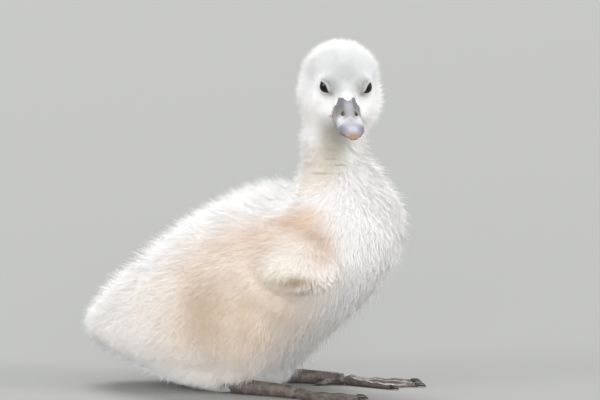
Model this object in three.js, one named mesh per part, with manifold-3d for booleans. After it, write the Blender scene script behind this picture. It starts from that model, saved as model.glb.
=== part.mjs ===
// A mute swan cygnet about ten days old, life size.
// It sits up on its hocks with its head turned to its right.
// Millimetres, +Z up. The bird heads along +X with its left side towards +Y, and the floor is z = 0.
// The solids are the outer form of the down coat, and the bare bill, eyes, shanks, webs and claws.
import * as THREE from "three";
import { mergeVertices } from "three/addons/utils/BufferGeometryUtils.js";
import Module from "manifold-3d";

const wasm = await Module();
wasm.setup();

// ---- Driving dimensions ----
const gap = 0.3; // between neighbours that touch
const bodyHeight = 107; // floor to the top of the shoulders
const bodyWidth = 97; // over the flanks' down
const neckWidth = 33;
const headWidth = 43.5; // over the cheeks' down
const headCentre = [53, 0, 156.5];
const headTurn = -56; // degrees from the heading, to the bird's right
const headNod = 9; // degrees down
const headLean = -1.5; // degrees, the crown towards its left
const culmenLength = 22.1;
const billWidth = 14.8; // at the gape
const billDrop = 13; // degrees from the head's axis to the mouth line
const eyeDiameter = 9;
const shankLength = 38; // hock to toe joint
const middleToeLength = 37; // without its claw
const webThickness = 1.3;
const side = { left: 1, right: -1 };

// ---- Shape helpers ----
const degrees = THREE.MathUtils.degToRad;
const toSolid = (geometry) => {
  const bare = geometry.clone();
  for (const name of Object.keys(bare.attributes)) if (name !== "position") bare.deleteAttribute(name);
  const merged = mergeVertices(bare, 1e-4);
  const triVerts = new Uint32Array(merged.index.array);
  const vertProperties = new Float32Array(merged.attributes.position.array);
  const made = new wasm.Manifold(new wasm.Mesh({ numProp: 3, vertProperties, triVerts }));
  if (made.volume() > 0) return made;
  for (let i = 0; i < triVerts.length; i += 3) {
    [triVerts[i + 1], triVerts[i + 2]] = [triVerts[i + 2], triVerts[i + 1]];
  }
  return new wasm.Manifold(new wasm.Mesh({ numProp: 3, vertProperties, triVerts }));
};

const toGeometry = (solid) => {
  const mesh = solid.getMesh();
  const positions = new Float32Array(mesh.numVert * 3);
  for (let i = 0; i < mesh.numVert; i++) {
    positions.set(mesh.vertProperties.subarray(i * mesh.numProp, i * mesh.numProp + 3), i * 3);
  }
  const geometry = new THREE.BufferGeometry();
  geometry.setAttribute("position", new THREE.BufferAttribute(positions, 3));
  geometry.setIndex(new THREE.BufferAttribute(new Uint32Array(mesh.triVerts), 1));
  geometry.computeVertexNormals();
  return geometry;
};

// Skins a row of rings that each hold the same number of points, and closes both ends on a middle point.
const loft = (rings) => {
  const around = rings[0].length;
  const middle = (ring) => ring.reduce((sum, p) => sum.add(p), new THREE.Vector3()).divideScalar(around);
  const points = [...rings.flat(), middle(rings[0]), middle(rings.at(-1))];
  const start = points.length - 2;
  const faces = [];
  for (let j = 0; j < around; j++) {
    const next = (j + 1) % around;
    for (let i = 0; i < rings.length - 1; i++) {
      const [a, b] = [i * around + j, i * around + next];
      faces.push(a, b, a + around, b, b + around, a + around);
    }
    const last = (rings.length - 1) * around;
    faces.push(start, next, j, start + 1, last + j, last + next);
  }
  const geometry = new THREE.BufferGeometry().setFromPoints(points);
  geometry.setIndex(faces);
  return toSolid(geometry);
};

const smooth = (values, t) => {
  const curve = new THREE.SplineCurve(values.map((v, i) => new THREE.Vector2(i, v)));
  return curve.getPoint(t).y;
};

// The cosine and sine of an angle, pushed out towards a square's corners as the power falls below 1.
const squared = (angle, power) => {
  const push = (v) => Math.sign(v) * Math.abs(v) ** power;
  return [push(Math.cos(angle)), push(Math.sin(angle))];
};

const box = (low, high) => {
  const size = high.map((v, i) => v - low[i]);
  const geometry = new THREE.BoxGeometry(...size);
  geometry.translate(...high.map((v, i) => (v + low[i]) / 2));
  return geometry;
};

const far = 400;
const aboveFloor = toSolid(box([-far, -far, 0], [far, far, far]));

// A half space on the side that the direction points to, in the XZ plane.
const beyond = (x, z, tiltDegrees) => {
  const geometry = box([0, -far, -far], [far, far, far]);
  geometry.rotateY(-degrees(tiltDegrees));
  geometry.translate(x, 0, z);
  return toSolid(geometry);
};

// ---- Trunk, neck and tail: one form, from the tail's tip to inside the head ----
// Each station pairs a point on the back line with one on the belly line, fanning round the nape's foot.
// The under half of a section is an ellipse at under = 1, and fuller below that.
const stations = [
  { back: [-90, 36], belly: [-89, 25], half: 7, under: 1 },
  { back: [-80.5, 45], belly: [-81, 18], half: 17, under: 0.95 },
  { back: [-59.5, 61.5], belly: [-66, 12], half: 29, under: 0.88 },
  { back: [-38, 79], belly: [-46, 5], half: 39, under: 0.82 },
  { back: [-13.5, 94.5], belly: [-22, -1], half: 46, under: 0.78 },
  { back: [8, 103.5], belly: [2, -2], half: bodyWidth / 2, under: 0.78 },
  { back: [22, 105.8], belly: [23, 8], half: bodyWidth / 2, under: 0.82 },
  { back: [30, bodyHeight], belly: [45, 27.5], half: 46, under: 0.9 },
  { back: [33.5, 109], belly: [67.5, 48], half: 43, under: 1 },
  { back: [34.5, 113], belly: [83, 69.5], half: 39, under: 1 },
  { back: [33.5, 119], belly: [86, 93], half: 32, under: 1 },
  { back: [33, 127], belly: [76, 111], half: 24, under: 1 },
  { back: [33, 136], belly: [67, 125], half: 17.5, under: 1 },
  { back: [34, 146], belly: [64, 139], half: neckWidth / 2 - 0.5, under: 1 },
];

const trunkForm = () => {
  const around = 24;
  const steps = 32;
  const line = (key) => new THREE.SplineCurve(stations.map((s) => new THREE.Vector2(...s[key])));
  const [backLine, bellyLine] = [line("back"), line("belly")];
  const rings = [];
  for (let i = 0; i <= steps; i++) {
    const t = i / steps;
    const [back, belly] = [backLine.getPoint(t), bellyLine.getPoint(t)];
    const middle = back.clone().add(belly).multiplyScalar(0.5);
    const depth = back.clone().sub(belly).multiplyScalar(0.5);
    const [half, under] = ["half", "under"].map((key) => smooth(stations.map((station) => station[key]), t));
    rings.push(Array.from({ length: around }, (_, j) => {
      const angle = (2 * Math.PI * j) / around;
      const [across, up] = squared(angle, angle > Math.PI ? under : 1);
      return new THREE.Vector3(middle.x + depth.x * up, half * across, middle.y + depth.y * up);
    }));
  }
  return loft(rings);
};

// ---- Rounded masses ----
// A form that is star-shaped about the origin, which every mass has inside it.
// Along each ray it goes as far as the mass that reaches furthest, blended with the others near a valley.
const massForm = (masses, across, up, grow = 0) => {
  const geometry = new THREE.SphereGeometry(1, across, up);
  const place = geometry.attributes.position;
  const ray = new THREE.Vector3();
  const softness = 1.6; // how widely two masses blend
  const share = Math.sqrt(masses.length);
  for (let i = 0; i < place.count; i++) {
    ray.fromBufferAttribute(place, i).normalize();
    let total = 0;
    for (const { centre, half } of masses) {
      const size = new THREE.Vector3(...half);
      const scaledRay = ray.clone().divide(size);
      const scaledCentre = new THREE.Vector3(...centre).divide(size);
      const a = scaledRay.lengthSq();
      const b = scaledRay.dot(scaledCentre);
      const reach = (b + Math.sqrt(b * b - a * (scaledCentre.lengthSq() - 1))) / a;
      total += Math.exp(reach / softness);
    }
    ray.multiplyScalar(softness * Math.log(total / share) + grow);
    place.setXYZ(i, ray.x, ray.y, ray.z);
  }
  return geometry;
};

// ---- Head ----
const headMatrix = new THREE.Matrix4()
  .makeTranslation(...headCentre)
  .multiply(new THREE.Matrix4().makeRotationZ(degrees(headTurn)))
  .multiply(new THREE.Matrix4().makeRotationY(degrees(headNod)))
  .multiply(new THREE.Matrix4().makeRotationX(degrees(headLean)));
const cheek = headWidth / 2 - 13;
const headMasses = [
  { centre: [-1, 0, 4], half: [21, 21.2, 21.8] }, // cranium
  { centre: [2, cheek, -7], half: [17, 13, 14.6] }, // left cheek
  { centre: [2, -cheek, -7], half: [17, 13, 14.6] }, // right cheek
  { centre: [9, 0, -5], half: [17, 9.5, 12] }, // face, tapering to the bill
];
const headForm = (grow = 0) => toSolid(massForm(headMasses, 28, 20, grow).applyMatrix4(headMatrix));

const eyeCentre = [13.2, 9.25, 4.3];
const eyeForm = (sign, grow = 0) => {
  const geometry = new THREE.SphereGeometry(eyeDiameter / 2 + grow, 12, 8);
  geometry.translate(eyeCentre[0], sign * eyeCentre[1], eyeCentre[2]);
  return toSolid(geometry.applyMatrix4(headMatrix));
};

// ---- Bill ----
// In the bill's own frame X runs along the mouth line, from inside the head to the tip,
// and Z stands up from it.
const billRoot = [8, 0, -7.5];
const billReach = culmenLength + 14.5; // the root lies inside the head
const billMatrix = headMatrix.clone()
  .multiply(new THREE.Matrix4().makeTranslation(...billRoot))
  .multiply(new THREE.Matrix4().makeRotationY(degrees(billDrop)));
const billHalf = [6.2, 6.9, billWidth / 2, 7.3, 7, 6.75, 6.8, 5.6, 2];
const billTop = [11, 11.5, 11.2, 10, 7.8, 5.6, 4.1, 2.8, 1.1];
const billMouth = [-0.4, -0.4, -0.4, -0.3, 0, 0.1, 0, -0.2, -0.7];
const lowerShare = 0.86; // the lower bill's width in the upper bill's

// A section is widest at its lip, beside the mouth line, and arches away from it.
const lip = 0.8;
const billSection = (x, half, waist, top, bottom, squareness) => {
  const around = 16;
  return Array.from({ length: around }, (_, j) => {
    const [wide, tall] = squared((2 * Math.PI * j) / around, squareness);
    return new THREE.Vector3(x, half * wide, waist + (tall > 0 ? top - waist : waist - bottom) * tall);
  });
};

const upperBill = (from, to, grow = 0) => {
  const steps = Math.max(3, Math.round((to - from) * 13));
  const rings = [];
  for (let i = 0; i <= steps; i++) {
    const t = from + ((to - from) * i) / steps;
    const [half, top, mouth] = [billHalf, billTop, billMouth].map((row) => smooth(row, t));
    rings.push(billSection(t * billReach, half + grow, mouth + lip, top + grow, mouth - grow, 0.75));
  }
  return loft(rings).transform(billMatrix.toArray());
};

const lowerBill = (grow = 0) => {
  const steps = 7;
  const end = 0.88;
  const rings = [];
  for (let i = 0; i <= steps; i++) {
    const t = (end * i) / steps;
    const half = smooth(billHalf, t) * lowerShare + grow;
    const mouth = smooth(billMouth, t) - gap;
    const depth = THREE.MathUtils.lerp(4.2, 1.2, t);
    rings.push(billSection(t * billReach, half, mouth - lip / 2, mouth + grow, mouth - depth - grow, 0.8));
  }
  return loft(rings).transform(billMatrix.toArray());
};

// ---- Wing ----
// A stub with its wrist forward and its blunt tip back, lying on the flank below the shoulder.
const wingMasses = [
  { centre: [6, 0, 0], half: [16, 7.5, 12.5] }, // hand and wrist
  { centre: [-7, 0, 1], half: [17, 6, 9.5] }, // tip
];
const wingCentre = [47, 41.5, 68.5];
const wingForm = (sign, grow = 0) => {
  const geometry = massForm(wingMasses, 16, 10, grow);
  geometry.rotateY(degrees(8));
  geometry.rotateX(degrees(12));
  geometry.rotateZ(degrees(-16));
  geometry.translate(...wingCentre);
  if (sign < 0) geometry.scale(1, -1, 1);
  return toSolid(geometry);
};

// ---- Thigh ----
const thighMasses = [
  { centre: [1, 0, 6], half: [27.5, 13, 30] }, // thigh
  { centre: [2, -6, -12], half: [21, 11, 21] }, // drumstick down to the hock
];
const thighCentre = [8, 38, 38];
const thighForm = (sign, grow = 0) => {
  const geometry = massForm(thighMasses, 18, 12, grow);
  geometry.translate(...thighCentre);
  if (sign < 0) geometry.scale(1, -1, 1);
  return toSolid(geometry);
};

// ---- Shank and foot ----
// In the leg's own frame the toe joint is the origin, X runs forward along the middle toe and Z is up.
const legMatrix = (sign) => new THREE.Matrix4()
  .makeTranslation(44, sign * 31, 0)
  .multiply(new THREE.Matrix4().makeRotationZ(sign * degrees(9)));

const roundBar = (points, around = 10) => {
  // points: [x, y, z, half width, half height], with a flat where they dip under the floor
  const rings = points.map(([x, y, z, wide, tall]) => Array.from({ length: around }, (_, j) => {
    const angle = (2 * Math.PI * j) / around;
    return new THREE.Vector3(x, y + wide * Math.cos(angle), z + tall * Math.sin(angle));
  }));
  return loft(rings);
};

const shankForm = (sign, grow = 0) => roundBar([
  [-shankLength - 4 - grow, 0, 4.2, 2.4, 2.6],
  [-shankLength - 1, 0, 4, 4.2, 4.6],
  [-shankLength + 4, 0, 4, 4.4, 4.8],
  [-shankLength * 0.72, 0, 3.6, 3, 4],
  [-shankLength * 0.35, 0, 3.3, 2.7, 3.7],
  [-6, 0, 3.1, 3, 3.5],
  [-2.2, 0, 2.9, 3.4, 3.2],
].map(([x, y, z, wide, tall]) => [x, y, z, wide + grow, tall + grow]))
  .transform(legMatrix(sign).toArray()).intersect(aboveFloor);

const toes = {
  inner: { spread: -27, length: middleToeLength * 0.82 },
  middle: { spread: 0, length: middleToeLength },
  outer: { spread: 25, length: middleToeLength * 0.93 },
};

const toeTip = ({ spread, length }) => {
  const turn = degrees(spread);
  return [length * Math.cos(turn), length * Math.sin(turn)];
};

const toeForm = ({ spread, length }) => {
  const joints = [0, 0.3, 0.42, 0.56, 0.7, 0.84, 1];
  const thick = [3.1, 2.1, 2.3, 1.8, 2, 1.6, 1.3];
  const bar = roundBar(joints.map((t, i) => [t * length, 0, thick[i] * 0.72, thick[i], thick[i]]), 6);
  const turn = new THREE.Matrix4().makeRotationZ(degrees(spread));
  return bar.transform(turn.toArray());
};

// The web's outline: bowed in between the toes' tips, with a narrow lobe along the inner edge.
const webForm = () => {
  const [inner, middle, outer] = Object.values(toes).map(toeTip);
  const bow = 0.8;
  const shape = new THREE.Shape();
  shape.moveTo(-1, 0);
  shape.lineTo(...inner.map((v) => v * 0.97));
  shape.quadraticCurveTo(((inner[0] + middle[0]) / 2) * bow, ((inner[1] + middle[1]) / 2) * bow, ...middle);
  shape.quadraticCurveTo(((outer[0] + middle[0]) / 2) * bow, ((outer[1] + middle[1]) / 2) * bow, ...outer);
  shape.lineTo(-1, 0);
  const options = { depth: webThickness, bevelEnabled: false, curveSegments: 5 };
  return toSolid(new THREE.ExtrudeGeometry(shape, options));
};

const footForm = (sign) => {
  const parts = Object.values(toes).map(toeForm);
  const knuckle = new THREE.SphereGeometry(3.5, 8, 6).translate(1.6, 0, 2.4);
  let foot = webForm().add(toSolid(knuckle));
  for (const part of parts) foot = foot.add(part);
  const handed = sign < 0 ? foot.mirror([0, 1, 0]) : foot;
  return handed.transform(legMatrix(sign).toArray()).intersect(aboveFloor);
};

const clawForm = (sign, toe, length) => {
  const [x, y] = [toe.length + gap, 0];
  const claw = roundBar([
    [x, y, 1.35, 1.1, 1.25],
    [x + length * 0.45, y, 1.45, 0.9, 1.05],
    [x + length * 0.8, y, 1.1, 0.55, 0.75],
    [x + length, y, 0.6, 0.25, 0.35],
  ], 8).transform(new THREE.Matrix4().makeRotationZ(degrees(toe.spread)).toArray());
  const handed = sign < 0 ? claw.mirror([0, 1, 0]) : claw;
  return handed.transform(legMatrix(sign).toArray()).intersect(aboveFloor);
};

// The small hind toe stands on the shank's inner side, just behind the toe joint.
const hindToe = { reach: 6.5, x: -7.5, spread: -142 };
const hindToePlace = (sign) => legMatrix(sign)
  .multiply(new THREE.Matrix4().makeTranslation(hindToe.x, -sign * 3.9, 0))
  .multiply(new THREE.Matrix4().makeRotationZ(sign * degrees(hindToe.spread)));
const hindToeForm = (sign) => roundBar([
  [0, 0, 2.4, 1.2, 1.2],
  [1.2, 0, 2.2, 1.7, 1.6],
  [4, 0, 1.6, 1.5, 1.5],
  [hindToe.reach, 0, 1.2, 1.1, 1.2],
], 8).transform(hindToePlace(sign).toArray()).intersect(aboveFloor);
const hindClawForm = (sign) => roundBar([
  [hindToe.reach + gap, 0, 1.2, 0.9, 1],
  [hindToe.reach + 2.4, 0, 0.8, 0.5, 0.6],
  [hindToe.reach + 3.6, 0, 0.5, 0.25, 0.3],
], 8).transform(hindToePlace(sign).toArray()).intersect(aboveFloor);

// ---- Materials ----
const paint = (color, roughness) => new THREE.MeshStandardMaterial({ color, roughness, metalness: 0 });
const whiteDown = paint("#efedeb", 0.95);
const buffDown = paint("#dfcfc3", 0.95);
const billHorn = paint("#a9a6b3", 0.45);
const nailHorn = paint("#d3a895", 0.4);
const eyeGloss = paint("#140f0c", 0.08);
const legSkin = paint("#5b5450", 0.6);
const clawHorn = paint("#2e2a29", 0.4);

// ---- Pieces ----
const nailFrom = 0.86;
const cut = {
  tail: { x: -70, z: 35, tilt: 20 },
  neck: { x: 34, z: 108, tilt: 68 },
};
const apart = (name, sign) => {
  const { x, z, tilt } = cut[name];
  const shift = (sign * gap) / 2;
  return beyond(x + shift * Math.cos(degrees(tilt)), z + shift * Math.sin(degrees(tilt)), tilt);
};

const everyForm = (make, grow) => Object.values(side).map((sign) => make(sign, grow));
const without = (solid, others) => others.reduce((left, other) => left.subtract(other), solid);

const body = trunkForm().intersect(aboveFloor);
const wings = everyForm(wingForm, gap);
const thighs = everyForm(thighForm, gap);
const shanks = everyForm(shankForm, gap);
const group = new THREE.Group();
const addPiece = (name, solid, material) => {
  const mesh = new THREE.Mesh(toGeometry(solid), material);
  mesh.name = name;
  group.add(mesh);
};

const billHole = [upperBill(0.26, 1, gap), lowerBill(gap)];
addPiece("head", without(headForm(), [...billHole, ...everyForm(eyeForm, gap)]), whiteDown);
addPiece("neck", without(body.intersect(apart("neck", 1)), [headForm(gap), ...billHole]), whiteDown);
const trunkOnly = body.subtract(apart("neck", -1)).intersect(apart("tail", 1));
addPiece("trunk", without(trunkOnly, [...wings, ...thighs, ...shanks]), buffDown);
addPiece("tail", body.subtract(apart("tail", -1)), buffDown);
addPiece("bill_upper", upperBill(0.27, nailFrom), billHorn);
addPiece("bill_nail", upperBill(nailFrom + gap / billReach, 1), nailHorn);
addPiece("bill_lower", lowerBill(), billHorn);

for (const [name, sign] of Object.entries(side)) {
  addPiece(`eye_${name}`, eyeForm(sign), eyeGloss);
  addPiece(`wing_${name}`, wingForm(sign), buffDown);
  addPiece(`thigh_${name}`, without(thighForm(sign).intersect(aboveFloor), [...wings, ...shanks]), buffDown);
  addPiece(`shank_${name}`, shankForm(sign), legSkin);
  addPiece(`foot_${name}`, without(footForm(sign), shanks), legSkin);
  for (const [toeName, toe] of Object.entries(toes)) {
    addPiece(`claw_${name}_${toeName}`, clawForm(sign, toe, 5), clawHorn);
  }
  addPiece(`hind_toe_${name}`, without(hindToeForm(sign), shanks), legSkin);
  addPiece(`claw_${name}_hind`, hindClawForm(sign), clawHorn);
}

// The origin is the middle of the bird's box, on the floor.
const whole = new THREE.Box3().setFromObject(group);
group.position.set(-(whole.min.x + whole.max.x) / 2, -(whole.min.y + whole.max.y) / 2, 0);

export default group;
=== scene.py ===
# A downy mute swan cygnet sitting on a pale floor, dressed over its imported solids.
# Metres, +Z up. The bird heads along +X with its left side towards +Y.
import math

import bmesh
import bpy
import numpy as np
from mathutils import Matrix, Vector
from mathutils.kdtree import KDTree


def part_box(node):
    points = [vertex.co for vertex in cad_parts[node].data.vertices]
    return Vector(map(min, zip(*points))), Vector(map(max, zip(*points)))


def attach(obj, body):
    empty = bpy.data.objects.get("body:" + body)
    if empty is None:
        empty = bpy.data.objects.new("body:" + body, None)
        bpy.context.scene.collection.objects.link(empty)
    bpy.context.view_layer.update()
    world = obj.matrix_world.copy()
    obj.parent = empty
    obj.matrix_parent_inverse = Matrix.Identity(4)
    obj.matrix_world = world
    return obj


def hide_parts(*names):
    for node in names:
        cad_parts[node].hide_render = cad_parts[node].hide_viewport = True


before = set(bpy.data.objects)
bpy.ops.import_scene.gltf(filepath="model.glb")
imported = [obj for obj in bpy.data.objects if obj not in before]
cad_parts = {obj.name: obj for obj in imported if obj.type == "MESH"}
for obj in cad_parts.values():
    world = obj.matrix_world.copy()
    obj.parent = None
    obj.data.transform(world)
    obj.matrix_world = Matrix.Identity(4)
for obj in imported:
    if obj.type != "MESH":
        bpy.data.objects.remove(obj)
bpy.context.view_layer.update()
mm = 0.001
rng = np.random.default_rng(11)
sides = {"left": 1, "right": -1}


# ---- small helpers for points held as arrays
def unit(v):
    return v / np.maximum(np.linalg.norm(v, axis=-1, keepdims=True), 1e-12)


def ramp(x, low, high):  # 0 below low, 1 above high, smooth between
    t = np.clip((np.asarray(x, float) - low) / (high - low), 0, 1)
    return t * t * (3 - 2 * t)


def across(v, n):  # the part of v that lies in the surface with normal n
    return v - n * np.sum(v * n, axis=-1, keepdims=True)


def link(obj):
    bpy.context.scene.collection.objects.link(obj)
    return obj


def smoothed(mesh):
    mesh.polygons.foreach_set("use_smooth", [True] * len(mesh.polygons))


def pieceFrom(name, points, faces):
    mesh = bpy.data.meshes.new(name)
    mesh.from_pydata([tuple(p) for p in points], [], [tuple(f) for f in faces])
    smoothed(mesh)
    mesh.update()
    return link(bpy.data.objects.new(name, mesh))


def turned(degrees, axis="Z"):
    return Matrix.Rotation(math.radians(degrees), 4, axis)


def moved(x, y, z):  # mm
    return Matrix.Translation(Vector((x, y, z)) * mm)


def circle(count):
    return np.arange(count) * 2 * np.pi / count


def inFrame(matrix, points):
    whole = np.array(matrix)
    return np.asarray(points, float) @ whole[:3, :3].T + whole[:3, 3]


def between(a, b, c, d, f):  # a smooth curve from b to c, with a and d as the spots beside them
    bend, twist = 2 * a - 5 * b + 4 * c - d, 3 * b - 3 * c + d - a
    return 0.5 * (2 * b + (c - a) * f + bend * f**2 + twist * f**3)


def along(row, t):  # a smooth curve through evenly spaced values
    row = np.asarray(row, float)
    last = len(row) - 1
    x = np.clip(t, 0, 1) * last
    i = np.minimum(np.floor(x).astype(int), last - 1)
    return between(*(row[np.clip(i + k, 0, last)] for k in (-1, 0, 1, 2)), x - i)


def leftSide(local):  # the same points with the bird's right side folded onto its left
    return np.stack([local[:, 0], np.abs(local[:, 1]), local[:, 2]], 1)


# ---- camera, floor and lights
view = {
    "azimuth": 24, "elevation": 5, "distance": 2.5,  # degrees, metres
    "pixel": 0.52 * mm,  # at the bird
    "size": (600, 400), "originAt": (243, 387),  # the render's, and where the frame's origin falls in it
    "sensor": 36,
}


def setCamera():
    a, e = math.radians(view["azimuth"]), math.radians(view["elevation"])
    back = Vector((math.sin(a) * math.cos(e), -math.cos(a) * math.cos(e), math.sin(e)))
    right = Vector((math.cos(a), math.sin(a), 0))
    up = back.cross(right)
    wide, high = view["size"]
    col, row = view["originAt"]
    target = (right * (wide / 2 - col) + up * (row - high / 2)) * view["pixel"]
    data = bpy.data.cameras.new("camera")
    data.sensor_width = view["sensor"]
    data.lens = view["sensor"] * view["distance"] / (wide * view["pixel"])
    data.clip_end = 40
    camera = link(bpy.data.objects.new("camera", data))
    turn = Matrix((right, up, back)).transposed().to_4x4()
    camera.matrix_world = Matrix.Translation(target + back * view["distance"]) @ turn
    bpy.context.scene.camera = camera


lamps = {  # where the light comes from, its spread in degrees, strength, colour
    "key": ((-0.45, -0.8, 0.38), 18, 1.0, (1, 0.99, 0.975)),
    "fill": ((0.95, 0.05, 0.36), 20, 1.55, (1, 0.99, 0.98)),
    "front": ((0.45, -1.0, 0.12), 30, 2.4, (1, 0.995, 0.985)),
    "back": ((-0.55, 0.75, 0.9), 28, 2.5, (1, 0.99, 0.96)),
}
room = {
    "floorColour": (0.265, 0.27, 0.262), "floorRoughness": 0.9, "floorHalf": 14,  # metres
    "worldColour": (0.97, 0.98, 1), "worldStrength": 0.8,
}


def setRoom():
    for name, (place, spread, power, colour) in lamps.items():
        data = bpy.data.lights.new(name, "SUN")
        data.angle, data.energy, data.color = math.radians(spread), power, colour
        lamp = link(bpy.data.objects.new(name, data))
        lamp.matrix_world = Vector(place).to_track_quat("Z", "Y").to_matrix().to_4x4()
    h = room["floorHalf"]
    floor = pieceFrom("floor", [(-h, -h, 0), (h, -h, 0), (h, h, 0), (-h, h, 0)], [(0, 1, 2, 3)])
    paint = bpy.data.materials.new("floorPaint")
    paint.use_nodes = True
    shader = paint.node_tree.nodes["Principled BSDF"]
    shader.inputs["Base Color"].default_value = (*room["floorColour"], 1)
    shader.inputs["Roughness"].default_value = room["floorRoughness"]
    floor.data.materials.append(paint)
    world = bpy.data.worlds.new("room")
    world.use_nodes = True
    sky = world.node_tree.nodes["Background"]
    sky.inputs["Color"].default_value = (*room["worldColour"], 1)
    sky.inputs["Strength"].default_value = room["worldStrength"]
    bpy.context.scene.world = world
    bpy.context.scene.view_settings.view_transform = "Standard"


setCamera()
setRoom()
print("stage: camera, floor and lights")

# ---- the head's own frame: X towards the bill, Y to the bird's left, Z up, from the middle of the head
head = {
    "turn": -56, "nod": 9, "lean": -1.5,  # degrees
    "eye": (13.2, 9.25, 4.3),  # the left eye's centre, mm
    "ahead": 53,  # mm from the middle of the body to the middle of the head
}
headTurn = turned(head["turn"]) @ turned(head["nod"], "Y") @ turned(head["lean"], "X")
eyeBoxes = [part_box("eye_left"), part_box("eye_right")]
betweenEyes = sum((low + high for low, high in eyeBoxes), Vector()) / 4
headOrigin = betweenEyes - headTurn @ Vector((head["eye"][0] * mm, 0, head["eye"][2] * mm))
headMatrix = Matrix.Translation(headOrigin) @ headTurn
shift = headOrigin.x / mm - head["ahead"]  # mm from the frame's origin to the middle of the body


def toHead(points):  # from metres of the frame to mm of the head
    return inFrame(headMatrix.inverted(), points) / mm


def fromHead(local):
    return inFrame(headMatrix, local * mm)


def fromMiddle(points):  # mm from the middle of the body
    x, y, z = points.T / mm
    return x - shift, y, z


# ---- bill, in its own frame: X along the mouth line to the tip, Z up
bill = {
    "root": (8, 0, -7.5), "drop": 13, "reach": 36.6, "lip": 0.8,  # mm and degrees, from the head's frame
    "half": (6.2, 6.9, 7.4, 7.3, 7, 6.75, 6.8, 5.6, 2),  # from the root to the tip
    "top": (11, 11.5, 11.2, 10, 7.8, 5.6, 4.1, 2.8, 1.1),
    "mouth": (-0.4, -0.4, -0.4, -0.3, 0, 0.1, 0, -0.2, -0.7),
    "squareness": (0.88, 0.75),  # at the root and at the tip
    "start": 0.16, "stations": 170, "around": 120, "tipRound": (1.0, 0.8),  # upper, lower
    "lowerShare": 0.86, "lowerSquareness": 0.8, "lowerDepth": (4.2, 1.2), "lowerEnd": 0.88, "mouthGap": 0.12,
    "nostril": (20.3, 3.45), "nostrilHalf": (1.4, 0.8), "nostrilTurn": -14, "nostrilDepth": 1.7,
    "nostrilLip": (1.45, 0.35, 0.07),  # how far out in nostril sizes, half width, height
    "groove": ((15.5, 4.4), (7.5, 1.9), 0.5),  # before the nostril: middle, half size, depth
    "keel": (1.5, 0.3, (20, 27)),  # half width, height, and where it fades out
    # the raised V: where it crosses the middle, how far it runs forward per mm of y, half width, height
    "ridge": (23.2, 0.62, 0.75, 0.22),
    "ridgeBack": (1.5, 0.8, 0.1),  # the gutter behind the V: how far, half width, depth
    "ridgeFront": (0.5, 2.5, 0.12),  # the plate before it: from, to, height
    "nail": (33.3, 4.3, 4.0), "nailCorner": 2.4,  # middle, half length, half width; more is squarer
    "nailSeam": (1.04, 0.07), "nailLift": (0.04, 0.16), "nailWall": 0.5,
    "pebble": 0.05,
    # where the down ends: degrees from the top of the bill, and x there
    "downEdge": (
        (0, 14.7), (5, 14.3), (9, 13), (13, 11.2), (17, 9.4), (21, 9.3), (27, 10.2), (35, 11.6), (45, 13.2),
        (56, 14), (68, 14.1), (80, 13.8), (120, 13),
    ),
}
billMatrix = headMatrix @ moved(*bill["root"]) @ turned(bill["drop"], "Y")


def toBill(points):
    return inFrame(billMatrix.inverted(), points) / mm


def billAt(name, x):  # one of the bill's rows of values at some x
    return along(bill[name], x / bill["reach"])


def waistAt(x):  # height of the upper bill's widest line
    return billAt("mouth", x) + bill["lip"]


def downEdgeAt(beak):  # x where the down ends, for points of the bill's frame
    angle = np.degrees(np.arctan2(np.abs(beak[:, 1]), beak[:, 2] - waistAt(beak[:, 0])))
    return np.interp(angle, *zip(*bill["downEdge"]))


def billSquareness(t):  # the upper bill's sections grow squarer towards the tip
    root, tip = bill["squareness"]
    return root + (tip - root) * ramp(t, 0.3, 0.75)


def billTopAt(beak):  # height of the upper bill's surface over its own x and y
    x = beak[:, 0]
    top, waist, square = billAt("top", x), waistAt(x), billSquareness(x / bill["reach"])
    share = np.clip(np.abs(beak[:, 1]) / billAt("half", x), 0, 1) ** (2 / square)
    return waist + (top - waist) * (1 - share) ** (square / 2)


# ---- the eyes' form, in the head's frame, left side; the right side is its mirror
eye = {
    "centre": head["eye"], "radius": 4.5, "axis": (0.80, 0.50, 0.14), "rings": 40, "around": 64, "pole": 0.02,
    "cornea": 0.2, "corneaEdge": (16, 40),  # how far the cornea stands out, and the degrees where it ends
    "pupil": 25, "iris": 41,  # degrees from the axis
    "openness": 0.9, "perSpan": 12,
    "reach": 7.5,  # mm from the centre; the head beyond is no part of the eye
    # the skin's radius under the opening and round it, its growth per degree out, and where the two meet
    "bed": (4.0, 4.82, 0.014, 8), "bedEnd": (6, 7.4),
    "ease": ((9, 16), (8, 11), 10),  # degrees and mm where the skin round it is smoothed, and the rounds
    # the opening's outline as directions from the eye's centre, and which of them are its corners
    "opening": (
        (0.30, 0.70, 0.65), (0.42, 0.84, 0.34), (0.50, 0.86, 0.0), (0.62, 0.72, -0.30), (0.78, 0.42, -0.47),
        (0.88, -0.10, -0.47), (0.97, 0.12, -0.10), (0.90, 0.30, 0.28), (0.66, 0.52, 0.54),
    ),
    "corners": (0, 5),
    # sections of the dark rim and of the lid: degrees out from the opening's edge, and radius
    "rim": ((1, 4.3), (-1.6, 4.66), (-1.3, 4.9), (0.6, 5.02), (2.6, 4.98), (3.6, 4.8), (3.6, 4.3)),
    "lid": (
        (2.4, 4.4), (2.2, 4.85), (4, 4.98), (8, 5.0), (13, 4.96), (19, 4.86), (27, 4.6), (27, 4.2),
    ),
}


def sphereGrid(axis, radiusAt, rings, around):
    axis = unit(np.array(axis, float))
    one = unit(np.cross(axis, [0, 0, 1]))
    two = np.cross(axis, one)
    turn = circle(around)
    ring = np.cos(turn)[:, None] * one + np.sin(turn)[:, None] * two
    lean = np.linspace(eye["pole"], np.pi - eye["pole"], rings)
    return [(axis * math.cos(a) + ring * math.sin(a)) * radiusAt(a) for a in lean]


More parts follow.
